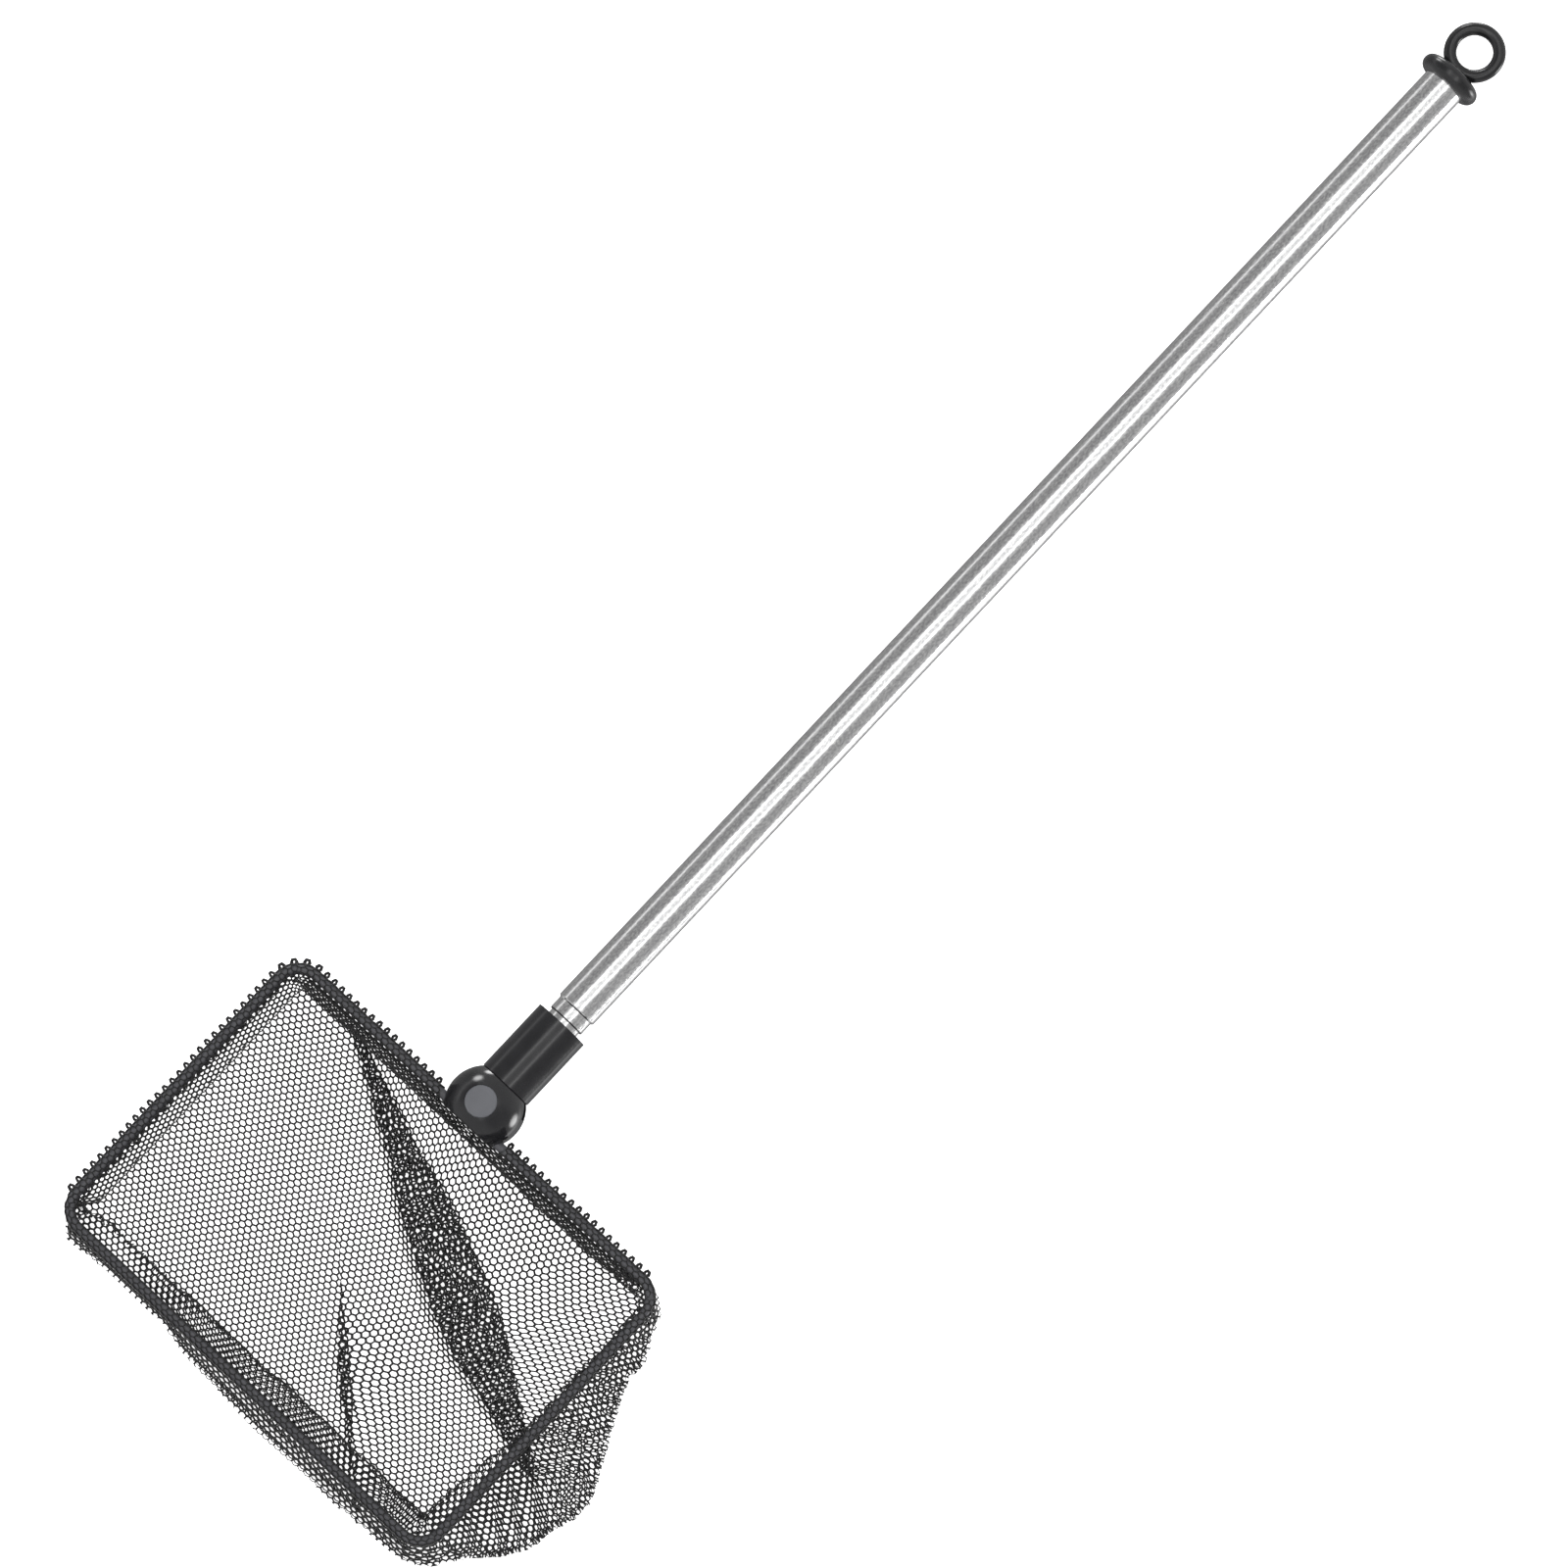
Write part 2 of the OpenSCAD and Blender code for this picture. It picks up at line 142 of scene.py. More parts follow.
def mouldedPlastic(name, dark, light, shine, skin=1.6 * mm, skinDepth=0.02 * mm,
                   grit=0.35 * mm, gritDepth=0.006 * mm, specular=0.5):
    # solid plastic: slow waviness of the skin, fine grit, handling marks in the gloss
    material, shader = newMaterial(name, Metallic=0.0, IOR=1.5, Specular_IOR_Level=specular)
    place = addNode(material, "ShaderNodeTexCoord").outputs["Object"]
    waves = surfaceNoise(material, place, 1 / skin, 2).outputs[0]
    fine = surfaceNoise(material, place, 1 / grit, 3).outputs[0]
    marks = surfaceNoise(material, place, 1 / (7 * mm), 6).outputs[0]
    connect(material, tint(material, marks, dark, light), shader, "Base Color")
    low, high = shine
    gloss = addNode(material, "ShaderNodeMath", {
        0: spread(material, marks, low, high), 1: spread(material, fine, 0, 0.06)},
        operation="ADD")
    connect(material, gloss.outputs[0], shader, "Roughness")
    lower = bump(material, waves, skinDepth, 0.7)
    connect(material, bump(material, fine, gritDepth, 0.6, lower), shader, "Normal")
    return material


def turnedMetal(name, dark, light, shine):
    # machined or rolled small hardware: fine rings from the tool, slight tarnish
    material, shader = newMaterial(name, Metallic=1.0)
    place = addNode(material, "ShaderNodeTexCoord").outputs["Object"]
    tarnish = surfaceNoise(material, place, 1 / (2.5 * mm), 5).outputs[0]
    lines = surfaceNoise(material, place, 1 / (0.25 * mm), 2, (1, 0.1, 1)).outputs[0]
    connect(material, tint(material, tarnish, dark, light), shader, "Base Color")
    connect(material, spread(material, lines, *shine), shader, "Roughness")
    connect(material, bump(material, lines, 0.01 * mm, 0.5), shader, "Normal")
    return material


def spunThread(name, dark, light, strand):
    # twisted polyester yarn: dark, soft shine, with the strands showing as slanting ridges
    material, shader = newMaterial(name, Metallic=0.0, IOR=1.5, Sheen_Weight=0.25,
                                   Sheen_Roughness=0.4, Specular_IOR_Level=0.4)
    place = addNode(material, "ShaderNodeTexCoord").outputs["Object"]
    fluff = surfaceNoise(material, place, 1 / (1.2 * mm), 4).outputs[0]
    twist = addNode(material, "ShaderNodeTexWave", {
        "Vector": place, "Scale": 0.5 / strand, "Distortion": 1.5, "Detail": 1.0},
        wave_type="BANDS", bands_direction="DIAGONAL").outputs["Fac"]
    connect(material, tint(material, fluff, dark, light), shader, "Base Color")
    connect(material, spread(material, fluff, 0.45, 0.7), shader, "Roughness")
    connect(material, bump(material, twist, 0.05 * mm, 0.8), shader, "Normal")
    return material


polishedSteel = drawnSteel("drawnStainlessTube", steelLook)
# moulded nylon: deep black, with sharp highlights along its edges
glossNylon = mouldedPlastic("mouldedBlackNylon", "#19191b", "#202022", (0.1, 0.16))
# moulded ABS: black with a wider, softer highlight, and for the caps a flat satin grey
satinAbs = mouldedPlastic("mouldedBlackAbs", "#161617", "#1e1e20", (0.16, 0.26),
                          skin=2.2 * mm, gritDepth=0.012 * mm)
greyAbs = mouldedPlastic("mouldedGreyAbs", "#58595d", "#606165", (0.42, 0.55),
                         skinDepth=0.008 * mm, gritDepth=0.014 * mm, specular=0.35)
# turned acetal: dull, a little waxy
blackBush = mouldedPlastic("turnedBlackAcetal", "#101011", "#19191b", (0.35, 0.5))
whiteBush = mouldedPlastic("turnedWhiteAcetal", "#dcdad2", "#ebe9e2", (0.35, 0.5))
# vinyl that the wire was dipped in: soft dark grey, uneven along the wire
vinylWire = mouldedPlastic("dippedBlackVinyl", "#3e3e41", "#4c4c50", (0.3, 0.5),
                           skin=2.5 * mm, skinDepth=0.06 * mm)
# small hardware: warm brass, grey oiled spring steel, bright zinc plating
brass = turnedMetal("turnedBrass", "#a8853f", "#c9a558", (0.2, 0.38))
springSteel = turnedMetal("rolledSpringSteel", "#77797c", "#9a9b9e", (0.25, 0.42))
zincSteel = turnedMetal("zincPlatedSteel", "#9c9fa2", "#c2c4c6", (0.22, 0.42))
# knitted net and sewing thread: near black, with a faint soft sheen
netYarn = spunThread("knittedPolyesterNet", "#070708", "#121214", 0.3 * mm)
sewingThread = spunThread("sewnPolyesterThread", "#070708", "#121214", 0.2 * mm)

nodeFinish = {
    "outer_tube": polishedSteel, "mid_tube": polishedSteel, "inner_tube": polishedSteel,
    "outer_mouth_bush": blackBush, "mid_mouth_bush": blackBush,
    "end_cap": satinAbs, "pole_socket": glossNylon,
    "ball_front_shell": glossNylon, "ball_rear_shell": glossNylon,
    "front_cap": greyAbs, "rear_cap": greyAbs, "frame_wire": vinylWire,
    "mid_tail_collar": brass, "inner_tail_collar": brass,
    "mid_friction_ring": springSteel, "inner_friction_ring": springSteel,
    "spring_washer": springSteel, "friction_washers": whiteBush,
    "pivot_screw": zincSteel, "pivot_nut": zincSteel,
    "socket_pin": zincSteel, "shell_dowels": zincSteel,
}
for name, material in nodeFinish.items():
    for slot in nodes[name].material_slots:
        slot.material = material
print("finishes on", len(nodeFinish), "pieces of the frame")


# the hoop's line, and what hangs from it
hoop = {"bend": 9 * mm, "steps": 12}


def hoopLine():
    # once round the wire from the ball, left corner first: distance, x, y, outward angle
    bend = hoop["bend"]
    x, y, turn = [nearX], [ball.y], [0.0]
    centres = ((nearX - bend, leftY - bend), (farX + bend, leftY - bend),
               (farX + bend, rightY + bend), (nearX - bend, rightY + bend))
    for corner, (cx, cy) in enumerate(centres):
        for angle in np.linspace(corner * pi / 2, (corner + 1) * pi / 2, hoop["steps"]):
            x.append(cx + bend * cos(angle))
            y.append(cy + bend * sin(angle))
            turn.append(angle)
    x, y, turn = np.array(x + [nearX]), np.array(y + [ball.y]), np.array(turn + [2 * pi])
    far = np.concatenate([[0], np.cumsum(np.hypot(np.diff(x), np.diff(y)))])
    return far, x, y, turn


lineFar, lineX, lineY, lineTurn = hoopLine()
roundHoop = lineFar[-1]


def besideHoop(far, out):
    # the point that far round the wire and that much outside it
    turn = np.interp(far, lineFar, lineTurn)
    x = np.interp(far, lineFar, lineX) + np.cos(turn) * out
    y = np.interp(far, lineFar, lineY) + np.sin(turn) * out
    return x, y


def stations(pairs, far):
    # reads a list of (distance round the hoop, size) pairs given in mm
    table = np.array(pairs, float) * mm
    return np.interp(far, table[:, 0], table[:, 1])


net = {
    "cellLong": 3.65 * mm, "cellWide": 2.77 * mm, "yarn": 0.6 * mm, "thick": 0.5 * mm,
    # round the hoop from the ball: near side's end, far side's two ends, near side's start
    "longSides": (83 * mm, 200 * mm, 376 * mm, 489 * mm),
    # how wide the doubled hem is inside the wire
    "hemIn": ((0, 6.4), (75, 6.4), (90, 3.6), (190, 3.6), (215, 9), (330, 10), (378, 9),
              (400, 6.5), (425, 3), (480, 3), (500, 6), (580, 6.4)),
    # how far the bag lies outside the wire on the ground
    "slump": ((0, -6), (190, -6), (205, 5), (222, 3.4), (250, 3.4), (262, 6), (285, 7.5),
              (305, 8.5), (340, 8), (365, 6.5), (376, 7), (388, 19), (397, 24.5), (406, 26),
              (415, 28.7), (423, 29), (432, 24.5), (448, 16), (464, 8.5), (470, 9.8), (482, 4),
              (496, -1), (510, -6), (580, -6)),
}


def hexField(area, keep, yarn):
    # flat netting: six-sided cells side by side, each cell's hole cut out
    u0, u1, v0, v1 = area
    long, wide = net["cellLong"], net["cellWide"]
    bm = bmesh.new()
    for du, dv in ((0, 0), (long / 2, wide / 2)):
        made = bmesh.ops.create_circle(bm, segments=6, radius=1, cap_ends=True)["verts"]
        if max(v.co.y for v in made) > 0.99:  # it points along Y, and a cell points along X
            bmesh.ops.rotate(bm, verts=made, matrix=Matrix.Rotation(pi / 2, 3, "Z"))
        bmesh.ops.scale(bm, verts=made, vec=(long / 3, wide / 2 / sin(pi / 3), 1))
        bmesh.ops.translate(bm, verts=made, vec=(u0 + du, v0 + dv, 0))
    rows = ((long, u1 - u0, Vector((1, 0, 0))), (wide, v1 - v0, Vector((0, 1, 0))))
    for pitch, span, axis in rows:
        unit = bm.faces[:]
        for i in range(1, int(span / pitch) + 1):
            copy = bmesh.ops.duplicate(bm, geom=unit)["geom"]
            bmesh.ops.translate(bm, vec=axis * pitch * i,
                                verts=[g for g in copy if isinstance(g, bmesh.types.BMVert)])
    bmesh.ops.remove_doubles(bm, verts=bm.verts, dist=0.1 * mm)
    centres = np.array([f.calc_center_median()[:2] for f in bm.faces])
    kept = keep(centres[:, 0], centres[:, 1])
    bmesh.ops.delete(bm, geom=[f for f, k in zip(bm.faces[:], kept) if not k], context="FACES")
    cells = bm.faces[:]
    bmesh.ops.inset_individual(bm, faces=cells, thickness=yarn / 2, use_even_offset=True)
    bmesh.ops.delete(bm, geom=cells, context="FACES_ONLY")
    return bm


def longSides(u):
    # the two sides of the hoop that run along Y: the near one, on both sides of the ball
    nearEnd, farStart, farEnd, nearStart = net["longSides"]
    return (u < nearEnd) | ((u > farStart) & (u < farEnd)) | (u > nearStart)


def wholeCloth(area, keep, yarn):
    # the bag is one cloth, so its cells run along X on every side of the hoop
    u0, u1, v0, v1 = area
    across = hexField((-v1, -v0, u0, u1), lambda a, b: keep(b, -a) & longSides(b), yarn)
    bmesh.ops.rotate(across, verts=across.verts, matrix=Matrix.Rotation(-pi / 2, 3, "Z"))
    half = bpy.data.meshes.new("half")
    across.to_mesh(half)
    across.free()
    bm = hexField(area, lambda u, v: keep(u, v) & ~longSides(u), yarn)
    bm.from_mesh(half)
    bpy.data.meshes.remove(half)
    return bm


def addPiece(name, bm, material):
    mesh = bpy.data.meshes.new(name)
    bm.to_mesh(mesh)
    bm.free()
    mesh.materials.append(material)
    piece = bpy.data.objects.new(name, mesh)
    bpy.context.scene.collection.objects.link(piece)
    return piece


def onTheHoop(piece):
    # the hoop carries the piece, and it is shaded smooth
    faces = piece.data.polygons
    faces.foreach_set("use_smooth", np.ones(len(faces), bool))
    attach(piece, "net_head")
    print(piece.name, len(faces), "faces")
    return piece


def netPiece(name, area, keep, shape, field=hexField, yarn=net["yarn"], thick=net["thick"]):
    # a field of netting, moved point by point from flat cloth to where it hangs
    bm = field(area, keep, yarn)
    bm.verts.index_update()
    flat = np.array([v.co[:2] for v in bm.verts])
    cloth = bm.loops.layers.uv.new("cloth")
    for face in bm.faces:
        for corner in face.loops:
            corner[cloth].uv = corner.vert.co[:2]
    x, y, z = shape(flat[:, 0], flat[:, 1])
    for vert, place in zip(bm.verts, np.stack([x, y, z], 1).tolist()):
        vert.co = place
    piece = addPiece(name, bm, netYarn)
    wall = piece.modifiers.new("yarn", "SOLIDIFY")
    wall.thickness, wall.offset = thick, 0
    settle(piece)
    return onTheHoop(piece)


def settle(piece):
    # puts the result of a piece's modifiers into its mesh, with its faces pointing outwards
    graph = bpy.context.evaluated_depsgraph_get()
    done = bpy.data.meshes.new_from_object(piece.evaluated_get(graph), depsgraph=graph)
    bm = bmesh.new()
    bm.from_mesh(done)
    bmesh.ops.recalc_face_normals(bm, faces=bm.faces)
    bm.to_mesh(done)
    bm.free()
    old = piece.data
    piece.modifiers.clear()
    piece.data = done
    bpy.data.meshes.remove(old)
    done.name = piece.name


# the bottom of the bag, spread on the ground
bottom = {
    "outlinePoints": 400, "past": 1.3 * mm,  # past the foot of the side, so that no gap is left
    "rest": 0.3 * mm, "ripple": 0.35 * mm, "waves": (11 * mm, 23 * mm, 17 * mm),
    # cloth laid out beyond the wire before it is cut: far, near, right and left
    "spare": (14 * mm, 52 * mm, 50 * mm, 2 * mm),
}
outlineFar = np.linspace(0, roundHoop, bottom["outlinePoints"], endpoint=False)
outlineX, outlineY = besideHoop(outlineFar, stations(net["slump"], outlineFar) + bottom["past"])


def insideOutline(x, y):
    hits = np.zeros(len(x), int)
    for i in range(len(outlineX)):
        x0, y0, x1, y1 = outlineX[i - 1], outlineY[i - 1], outlineX[i], outlineY[i]
        if y0 != y1:
            between = (y0 > y) != (y1 > y)
            hits += between & (x < x0 + (y - y0) * (x1 - x0) / (y1 - y0))
    return hits % 2 == 1


def pullInside(x, y):
    # points outside the outline are moved to its nearest point
    x, y = x.copy(), y.copy()
    for i in np.flatnonzero(~insideOutline(x, y)):
        nearest = np.argmin((outlineX - x[i]) ** 2 + (outlineY - y[i]) ** 2)
        x[i], y[i] = outlineX[nearest], outlineY[nearest]
    return x, y


# pleats, in mm from the ball: beyond one the cloth is drawn in by the pleat's width beside it,
# which fades over the reach to the settled width
mainPleat = {
    "start": (-2.8, 72.4), "end": (-83.2, -101), "settled": 14, "reach": 70, "height": 2.4,
    # distance along the pleat and its width there
    "widths": ((0, 1.2), (24, 4.2), (39, 7), (53, 10.5), (67, 13), (82, 19), (96, 22.5),
               (125, 26), (140, 23.5), (154, 17.5), (168, 12), (186, 5), (192, 0)),
}
smallPleat = {
    "start": (-58, 17), "end": (-120, -49), "settled": 0, "reach": 14, "height": 1.4,
    "widths": ((0, 0), (30, 0.6), (42, 2.2), (52, 5), (66, 5.5), (80, 3), (90, 1.4)),
}
pleatFold = {
    # shares of the pleat's width: where its lap begins, the cloth that rises to it, its middle
    "lapFrom": 0.12, "riseCloth": 0.18, "middle": 0.57,
    # a narrower pleat is lower, and the lap falls away towards its edge
    "fullHeightFrom": 2.5 * mm, "topFall": 0.25, "under": 0.6, "underFall": 0.15,
}


def pleatLine(pleat):
    start = np.array(pleat["start"]) * mm + np.array(ball[:2])
    end = np.array(pleat["end"]) * mm + np.array(ball[:2])
    return start, (end - start) / np.hypot(*(end - start))


def foldOver(x, y, z, pleat):
    # a pleat in flat cloth: it rises, laps over, turns back under itself and runs on
    start, way = pleatLine(pleat)
    lapFrom, riseCloth = pleatFold["lapFrom"], pleatFold["riseCloth"]
    along = (x - start[0]) * way[0] + (y - start[1]) * way[1]
    across = -(x - start[0]) * way[1] + (y - start[1]) * way[0]
    width = stations(pleat["widths"], along)
    tall = pleat["height"] * mm * np.clip(width / pleatFold["fullHeightFrom"], 0, 1)
    cloth = across + width / 2
    rise, lap = riseCloth * width, (1 - lapFrom) * width
    spent = riseCloth + 2 * (1 - lapFrom) - lapFrom
    past = np.maximum(cloth - rise - 2 * lap, 0)
    settled, reach = pleat["settled"] * mm, pleat["reach"] * mm
    shift = spent * (settled + (width - settled) * np.exp(-past / reach))
    parts = [cloth < 0, cloth < rise, cloth < rise + lap, cloth < rise + 2 * lap]
    safeRise, safeLap = np.maximum(rise, 1e-6), np.maximum(lap, 1e-6)
    moved = np.select(parts, [
        cloth, cloth * lapFrom / riseCloth, lapFrom * width + cloth - rise,
        width - (cloth - rise - lap)], cloth - shift)
    lift = np.select(parts, [
        0 * cloth, tall * np.clip(cloth / safeRise, 0, 1) ** 1.5,
        tall * (1 - pleatFold["topFall"] * (cloth - rise) / safeLap),
        tall * (pleatFold["under"] - pleatFold["underFall"] * (cloth - rise - lap) / safeLap)],
        0 * cloth)
    moved = moved - pleatFold["middle"] * width
    newX = start[0] + along * way[0] - moved * way[1]
    newY = start[1] + along * way[1] + moved * way[0]
    return newX, newY, z + lift


def bagBottom(u, v):
    x, y, z = foldOver(u, v, np.full(len(u), bottom["rest"]), smallPleat)
    x, y, z = foldOver(x, y, z, mainPleat)
    x, y = pullInside(x, y)
    waveX, bend, waveY = bottom["waves"]
    ripple = np.sin(x / waveX + 2 * np.sin(y / bend)) * np.sin(y / waveY)
    return x, y, z + bottom["ripple"] * (1 + ripple)


def bagBottomKeep(u, v):
    x, y, _ = foldOver(u, v, 0 * u, smallPleat)
    x, y, _ = foldOver(x, y, 0 * u, mainPleat)
    return insideOutline(x, y)


def leftOfPleat(u, v):
    start, way = pleatLine(mainPleat)
    return -(u - start[0]) * way[1] + (v - start[1]) * way[0] < 0


spare = bottom["spare"]
flatArea = (farX - spare[0], nearX + spare[1], rightY - spare[2], leftY + spare[3])
bottomFar = netPiece("netBottomFar", flatArea,
                     lambda u, v: bagBottomKeep(u, v) & leftOfPleat(u, v), bagBottom)
bottomNear = netPiece("netBottomNear", flatArea,
                      lambda u, v: bagBottomKeep(u, v) & ~leftOfPleat(u, v), bagBottom)


# the side of the bag, from the hem down to the ground
side = {
    "landing": 0.9 * mm, "inset": 1 * mm, "below": 2 * mm, "slack": 1.04, "cloth": 42 * mm,
    # it falls more steeply near the wire where it spreads further past it
    "belly": 1.2, "bellyFull": 36 * mm,
    "looseFrom": 9 * mm, "looseOver": 14 * mm,
    "creaseStep": 8.5 * mm, "creaseDepth": 0.8 * mm, "creaseWay": 48, "creaseUneven": (1.3, 3.1),
}


def sideRun(far):
    across = side["inset"] + stations(net["slump"], far)
    drop = ball.z - side["below"] - side["landing"]
    return across, drop, side["slack"] * np.hypot(across, drop)


def bagSide(u, v):
    across, drop, length = sideRun(u)
    part = np.clip(v / length, 0, 1)
    x, y = besideHoop(u, across * part - side["inset"])
    curve = 1 + side["belly"] * np.clip(across / side["bellyFull"], 0, 1)
    z = side["landing"] + drop * (1 - part) ** curve
    # slack folds fan out where the bag spreads past the hoop
    loose = np.clip((across - side["looseFrom"]) / side["looseOver"], 0, 1)
    loose = loose * part * (1 - part) * 4
    way = radians(side["creaseWay"])
    ridge = (x * sin(way) - y * cos(way)) / side["creaseStep"] * 2 * pi
    stray, slow = side["creaseUneven"]
    push = side["creaseDepth"] * loose * np.sin(ridge + stray * np.sin(ridge / slow))
    x, y = x + push * sin(way), y - push * cos(way)
    z = z + side["creaseDepth"] * loose * (0.6 + 0.6 * np.cos(ridge))
    return x, y, z


def bagSideKeep(u, v):
    length = sideRun(u)[2]
    return (v > 0) & (v < length) & (u > 0) & (u < roundHoop)


netSide = netPiece("netSide", (0, roundHoop, -1 * mm, side["cloth"]), bagSideKeep, bagSide,
                   wholeCloth)


# the hem, folded round the wire
hem = {
    "yarn": 0.38 * mm, "thick": 0.66 * mm, "cloth": 22 * mm,
    # the cloth is wrapped round the wire and leaves it this many degrees before its inner side
    "wrap": wireRadius + 0.3 * mm, "leave": 25, "wireMargin": 0.6 * mm,
    "flatOver": 6 * mm, "layer": 0.35 * mm,
    # beside the ball it is cut away from the wire
    "ballClear": 15.2 * mm, "ballInside": 2.9 * mm,
    "turnIn": 0.06, "turnInLayer": 0.45 * mm,
    "wander": 0.55 * mm, "wanderWaves": (4.7 * mm, 13 * mm),
    "skew": 0.6 * mm, "skewWave": 19 * mm, "skewOut": 0.25,
}
# a row of single cells stands out past the wire, but not where the bag hides it
loops = {
    "out": 2.6 * mm, "yarn": 1.75 * mm, "thick": 0.7 * mm, "until": 197 * mm, "from": 494 * mm,
    "row": 0.5 * mm, "lift": 0.3 * mm, "wobble": 0.25 * mm, "wobbleWaves": (5.3 * mm, 31 * mm),
}


def besideBall(u):
    return np.minimum(u, roundHoop - u) < hem["ballClear"]


def hemOut(u, v):
    # from the outermost point of the wire, over and under it, then flat inwards
    c, wrap = np.abs(v), hem["wrap"]
    leave = pi - radians(hem["leave"])
    onWire = leave * wrap
    angle = np.minimum(c, onWire) / wrap
    out = np.where(c < onWire, wrap * np.cos(angle), wrap * cos(leave) - (c - onWire))
    band = np.clip((c - onWire) / hem["flatOver"], 0, 1)
    foot = wrap * sin(leave)
    height = np.where(c < onWire, wrap * np.sin(angle), foot + (hem["layer"] - foot) * band)
    out = np.where(besideBall(u), np.minimum(out, -hem["ballInside"]), out)
    return out, height, c < onWire + hem["wireMargin"]


def hemLimit(u):
    # the fold along the hem's inner edge wanders a little
    short, long = hem["wanderWaves"]
    wander = np.sin(u / short) * np.sin(u / long + 1)
    return hem["wander"] * wander - stations(net["hemIn"], u)


def hemShape(u, v):
    # the raw edge is turned in, and the two layers never lie quite square on each other
    out, height, onWire = hemOut(u, v)
    limit = hemLimit(u)
    height = height + np.where(out < limit, hem["turnInLayer"], 0)
    out = np.where(out < limit, 2 * limit - out, out)
    inward = np.clip(np.abs(out) / hem["flatOver"], 0, 1)
    slip = hem["skew"] * np.sin(u / hem["skewWave"] + np.sign(v)) * inward
    x, y = besideHoop(u + slip, out + hem["skewOut"] * slip * ~onWire)
    return x, y, ball.z + np.sign(v) * height


def hemKeep(u, v):
    out, _, onWire = hemOut(u, v)
    limit = hemLimit(u) * (1 + hem["turnIn"])
    return (out > limit) & (u > 0) & (u < roundHoop) & ~(besideBall(u) & onWire)


def loopShape(u, v):
    short, long = loops["wobbleWaves"]
    wobble = loops["wobble"] * np.sin(u / short) * np.sin(u / long)
    x, y = besideHoop(u, loops["out"] + v + wobble)
    return x, y, ball.z + loops["lift"] + wobble


def loopKeep(u, v):
    ends = (u < loops["until"]) | (u > loops["from"])
    return (np.abs(v) < loops["row"]) & (u > 0) & (u < roundHoop) & ends & ~besideBall(u)


netHem = netPiece("netHem", (0, roundHoop, -hem["cloth"], hem["cloth"]), hemKeep, hemShape,
                  wholeCloth, yarn=hem["yarn"], thick=hem["thick"])
netLoops = netPiece("netLoops", (0, roundHoop, 0, net["cellWide"]), loopKeep, loopShape,
                    yarn=loops["yarn"], thick=loops["thick"])


# hem stitches and the overlocked seam
stitch = {"length": 2.6 * mm, "radius": 0.28 * mm, "pitch": 2.5 * mm, "lean": 38,
          "fromFold": 0.9 * mm, "height": 0.8 * mm}
overlock = {
    "from": 378 * mm, "to": 470 * mm, "pitch": 1.5 * mm, "dense": 0.75 * mm,
    "length": 2.4 * mm, "radius": 0.3 * mm, "inside": 0.4 * mm, "height": 0.75 * mm,
    "denseParts": ((384, 393), (398, 407)),
    # no two stitches are alike: spread of their height, turn and pitch
    "heightSpread": 0.25 * mm, "turnSpread": 0.35, "pitchSpread": 0.25,
}


def threadBars(name, places, length, radius):
    # short rounded bars of thread: each place is (x, y, z, heading)
    bm = bmesh.new()
    for x, y, z, heading in places:
        turn = Matrix.Translation((x, y, z)) @ Matrix.Rotation(heading, 4, "Z")
        turn = turn @ Matrix.Rotation(pi / 2, 4, "Y")
        bmesh.ops.create_cone(bm, segments=6, cap_ends=True, radius1=radius, radius2=radius,
                              depth=length, matrix=turn)
    return onTheHoop(addPiece(name, bm, sewingThread))


def stitchPlaces():
    places = []
    for i, far in enumerate(np.arange(stitch["pitch"], roundHoop, stitch["pitch"])):
        x, y = besideHoop(far, stitch["fromFold"] - stations(net["hemIn"], far))
        heading = float(np.interp(far, lineFar, lineTurn)) + pi / 2
        lean = radians(stitch["lean"]) * (1 if i % 2 else -1)
        places.append((float(x), float(y), ball.z + stitch["height"], heading + lean))
    return places


def seamPoint(far):
    return besideHoop(far, stations(net["slump"], far) - overlock["inside"])


def seamPlaces():
    places, far, i = [], overlock["from"], 0
    while far < overlock["to"]:
        (x, y), (x1, y1) = seamPoint(far), seamPoint(far + mm)
        heading = atan2(y1 - y, x1 - x) + pi / 2 + overlock["turnSpread"] * sin(i * 2.4)
        height = overlock["height"] + overlock["heightSpread"] * sin(i * 1.7)
        places.append((float(x), float(y), height, heading))
        dense = any(a * mm < far < b * mm for a, b in overlock["denseParts"])
        uneven = overlock["pitch"] * (1 + overlock["pitchSpread"] * sin(i * 3.1))
        far += overlock["dense"] if dense else uneven
        i += 1
    return places


hemStitches = threadBars("hemStitching", stitchPlaces(), stitch["length"], stitch["radius"])
seamStitches = threadBars("seamOverlock", seamPlaces(), overlock["length"], overlock["radius"])

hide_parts("net_bag")
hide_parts("hem_sleeve")
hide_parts("hem_stitches")
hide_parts("bag_seam")


# floor, light and camera
# matte paper: no gloss, the faintest grain, and a glow that keeps it white under soft light
paper, paperShader = newMaterial("matteWhitePaper", Roughness=0.9, Specular_IOR_Level=0.2,
                                 Emission_Color=linear("#ffffff"), Emission_Strength=0.9)
paperPlace = addNode(paper, "ShaderNodeTexCoord").outputs["Object"]
paperGrain = surfaceNoise(paper, paperPlace, 1 / (4 * mm), 3).outputs[0]
connect(paper, tint(paper, paperGrain, "#fbfbfb", "#ffffff"), paperShader, "Base Color")
bm = bmesh.new()
bmesh.ops.create_grid(bm, x_segments=1, y_segments=1, size=4)
floor = addPiece("floor", bm, paper)
floor.visible_glossy = False
print("floor laid")

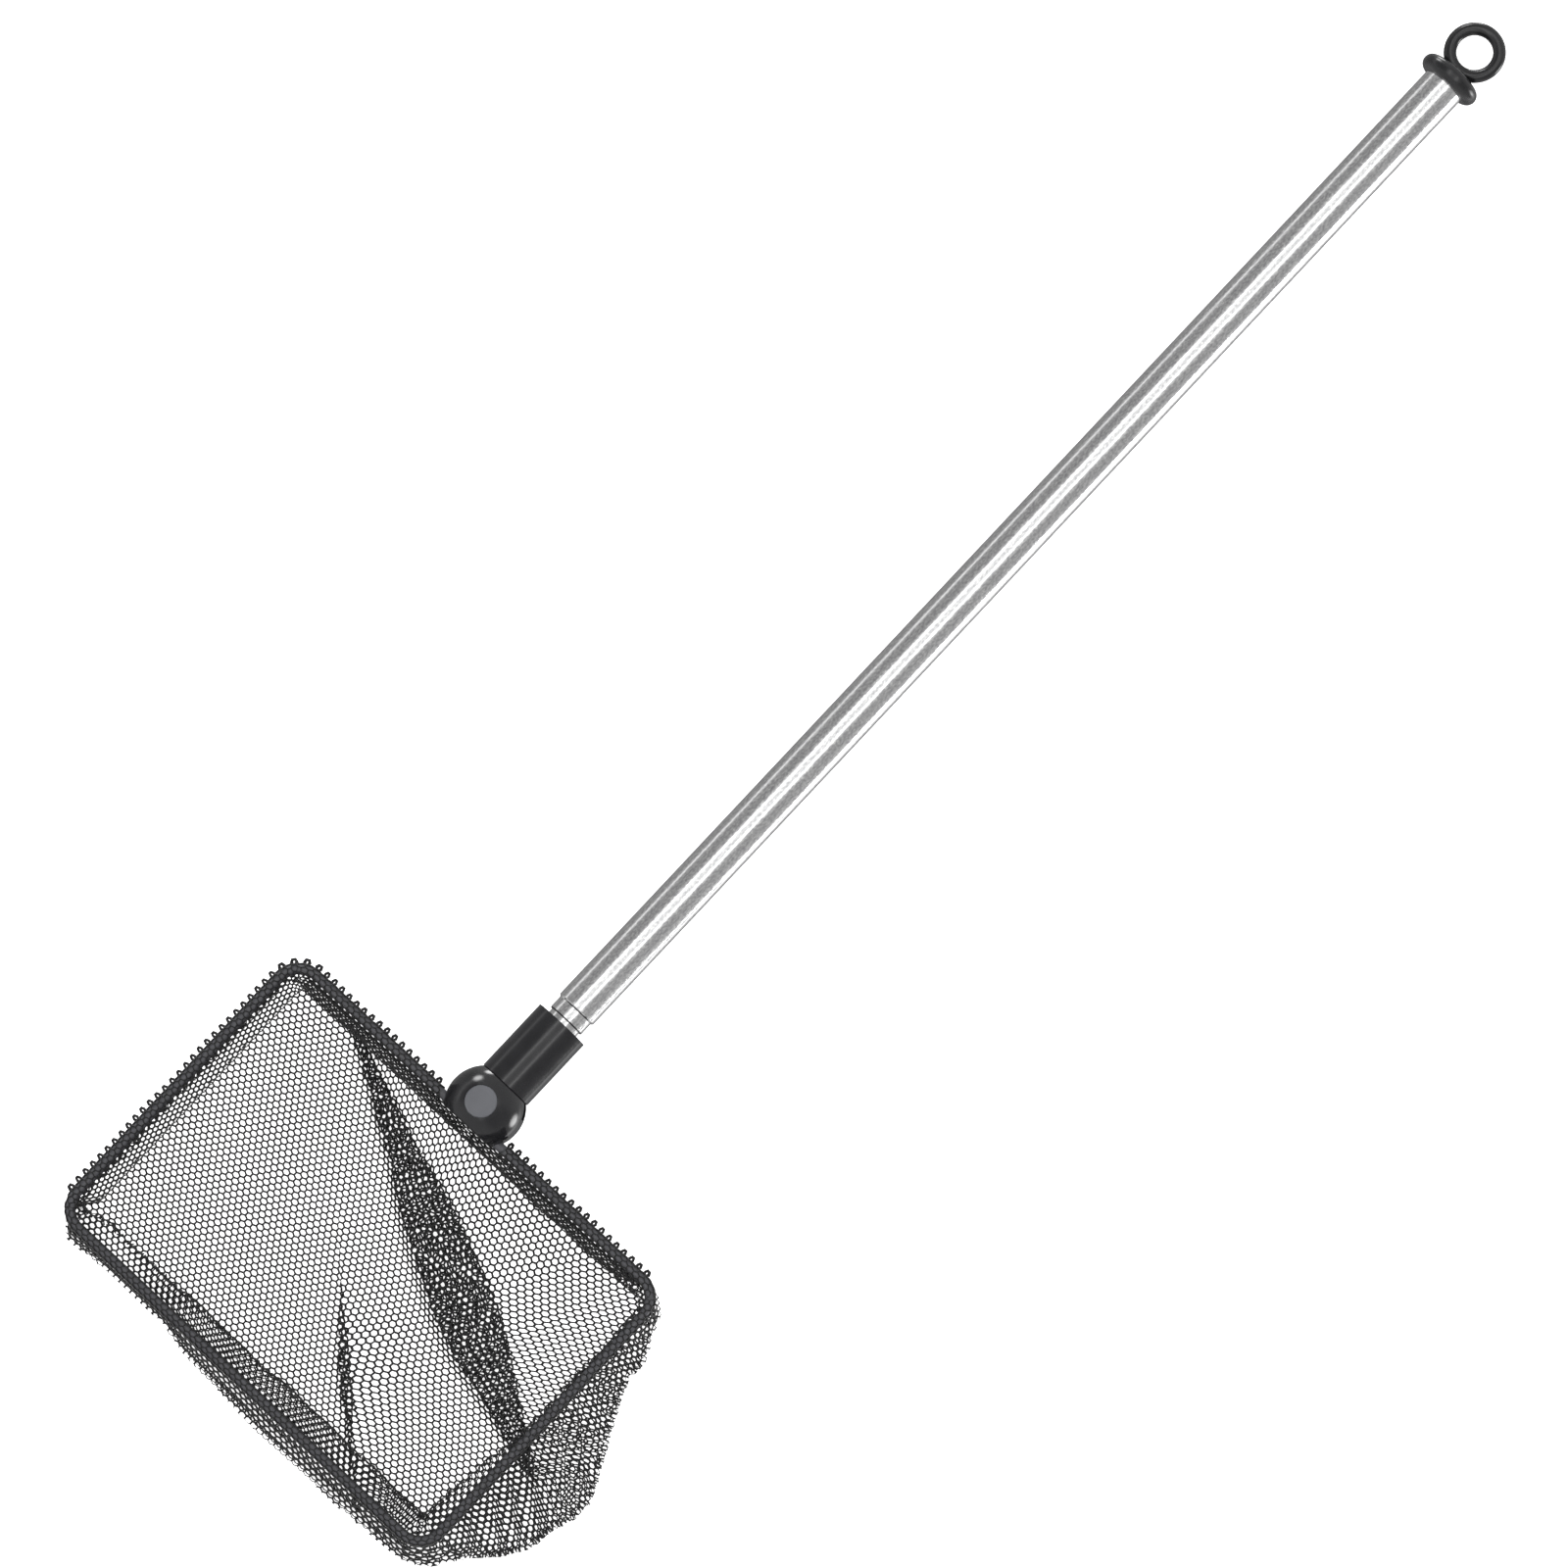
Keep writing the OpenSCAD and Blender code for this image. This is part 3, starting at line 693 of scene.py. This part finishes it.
studio = {
    # brightness of the room round the pole's line: (degrees from overhead, level), right positive
    "strips": ((-180, 0.2), (-140, 0.3), (-92, 0.33), (-84, 0.5), (-77, 1.3), (-70, 0.5),
               (-62, 0.34), (-32, 0.32), (-17, 0.45), (-10, 1.6), (-7, 3.6), (-4, 1.6),
               (3, 1.1), (13, 0.95), (20, 1.15), (24, 1.8), (27, 3.6), (30, 1.6), (36, 0.55),
               (50, 0.4), (72, 0.4), (84, 0.48), (98, 0.55), (118, 0.5), (126, 0.9), (131, 2.6),
               (136, 1.0), (146, 0.6), (160, 0.35), (180, 0.2)),
    "brightest": 4.0, "quiet": 0.7, "stripEnds": (0.35, 0.7),
    # small soft lights: direction from the object, half angle, level
    "spots": (((0.77, 0.57, -0.29), 7, 10.0), ((0.55, 0.82, 0.155), 8, 10.0),
              ((0.285, -0.885, -0.366), 10, 9.0)),
    # position relative to the ball in metres, size, power
    "lamps": (
        ("keyLamp", (-0.5, 1.1, 1.5), (1.6, 0.5), 12),
        ("fillLamp", (0.5, -1.2, 1.2), (1.6, 0.4), 7),
        ("endLamp", (-1.5, -0.3, 1.0), (0.6, 1.2), 4),
    ),
}


def studioWorld():
    # long strip lights beside the pole, a quiet grey room beyond their ends, white for the view
    world = bpy.data.worlds.new("studio")
    world.use_nodes = True
    way = addNode(world, "ShaderNodeTexCoord").outputs["Generated"]
    axes = addNode(world, "ShaderNodeSeparateXYZ", {0: way}).outputs

    def sums(kind, *values):
        return addNode(world, "ShaderNodeMath", dict(enumerate(values)), operation=kind).outputs[0]

    angle = sums("ARCTAN2", sums("MULTIPLY", axes["Y"], -1.0), axes["Z"])
    ramp = addNode(world, "ShaderNodeValToRGB", {
        "Fac": spread(world, angle, 0, 1, -pi, pi)})
    stops = ramp.color_ramp.elements
    strips, brightest = studio["strips"], studio["brightest"]
    for degrees, level in strips[1:-1]:
        stops.new((degrees + 180) / 360).color = [level / brightest] * 3 + [1]
    for stop, (_, level) in ((stops[0], strips[0]), (stops[-1], strips[-1])):
        stop.color = [level / brightest] * 3 + [1]
    beyond = addNode(world, "ShaderNodeMapRange", {
        "Value": sums("ABSOLUTE", axes["X"]), "From Min": studio["stripEnds"][0],
        "From Max": studio["stripEnds"][1]}, interpolation_type="SMOOTHSTEP").outputs[0]
    strip = sums("MULTIPLY", ramp.outputs[0], brightest)
    level = sums("ADD", sums("MULTIPLY", strip, sums("SUBTRACT", 1.0, beyond)),
                 sums("MULTIPLY", beyond, studio["quiet"]))
    for toward, half, bright in studio["spots"]:
        near = addNode(world, "ShaderNodeVectorMath", {
            0: way, 1: Vector(toward).normalized()}, operation="DOT_PRODUCT").outputs["Value"]
        glow = addNode(world, "ShaderNodeMapRange", {
            "Value": near, "From Min": cos(radians(half * 1.5)), "From Max": cos(radians(half / 2)),
            "To Max": bright}, interpolation_type="SMOOTHSTEP").outputs[0]
        level = sums("ADD", level, glow)
    seen = addNode(world, "ShaderNodeLightPath").outputs["Is Camera Ray"]
    level = sums("MAXIMUM", sums("MULTIPLY", level, sums("SUBTRACT", 1.0, seen)), seen)
    backdrop = world.node_tree.nodes["Background"]
    world.node_tree.links.new(level, backdrop.inputs["Strength"])
    backdrop.inputs["Color"].default_value = linear("#ffffff")
    return world


bpy.context.scene.world = studioWorld()
for name, place, (sizeX, sizeY), power in studio["lamps"]:
    lamp = bpy.data.lights.new(name, "AREA")
    lamp.shape, lamp.size, lamp.size_y, lamp.energy = "RECTANGLE", sizeX, sizeY, power
    lampObject = bpy.data.objects.new(name, lamp)
    lampObject.location = ball + Vector(place)
    lampObject.rotation_euler = Vector(place).to_track_quat("Z", "X").to_euler()
    lampObject.visible_glossy = False  # the room's strips are what shows in the gloss
    bpy.context.scene.collection.objects.link(lampObject)
print("room lit, with", len(studio["lamps"]), "lamps")

# where the camera stands, measured from the ball's centre, and how it is turned
view = {
    "stand": (-82.5, -544.2, 3039.0), "look": (0.07647, 0.17607, -0.98140),
    "right": (0.68257, -0.72673, -0.07720), "lens": 202.5, "sensor": 36, "farthest": 50,
}
camera = bpy.data.cameras.new("camera")
camera.lens, camera.sensor_width, camera.clip_end = view["lens"], view["sensor"], view["farthest"]
cameraObject = bpy.data.objects.new("camera", camera)
right, back = Vector(view["right"]).normalized(), -Vector(view["look"]).normalized()
up = back.cross(right)
turn = Matrix((right, up, back)).transposed().to_4x4()
cameraObject.matrix_world = Matrix.Translation(ball + Vector(view["stand"]) * mm) @ turn
bpy.context.scene.collection.objects.link(cameraObject)
bpy.context.scene.camera = cameraObject
bpy.context.scene.view_settings.view_transform = "Standard"
print("camera set")
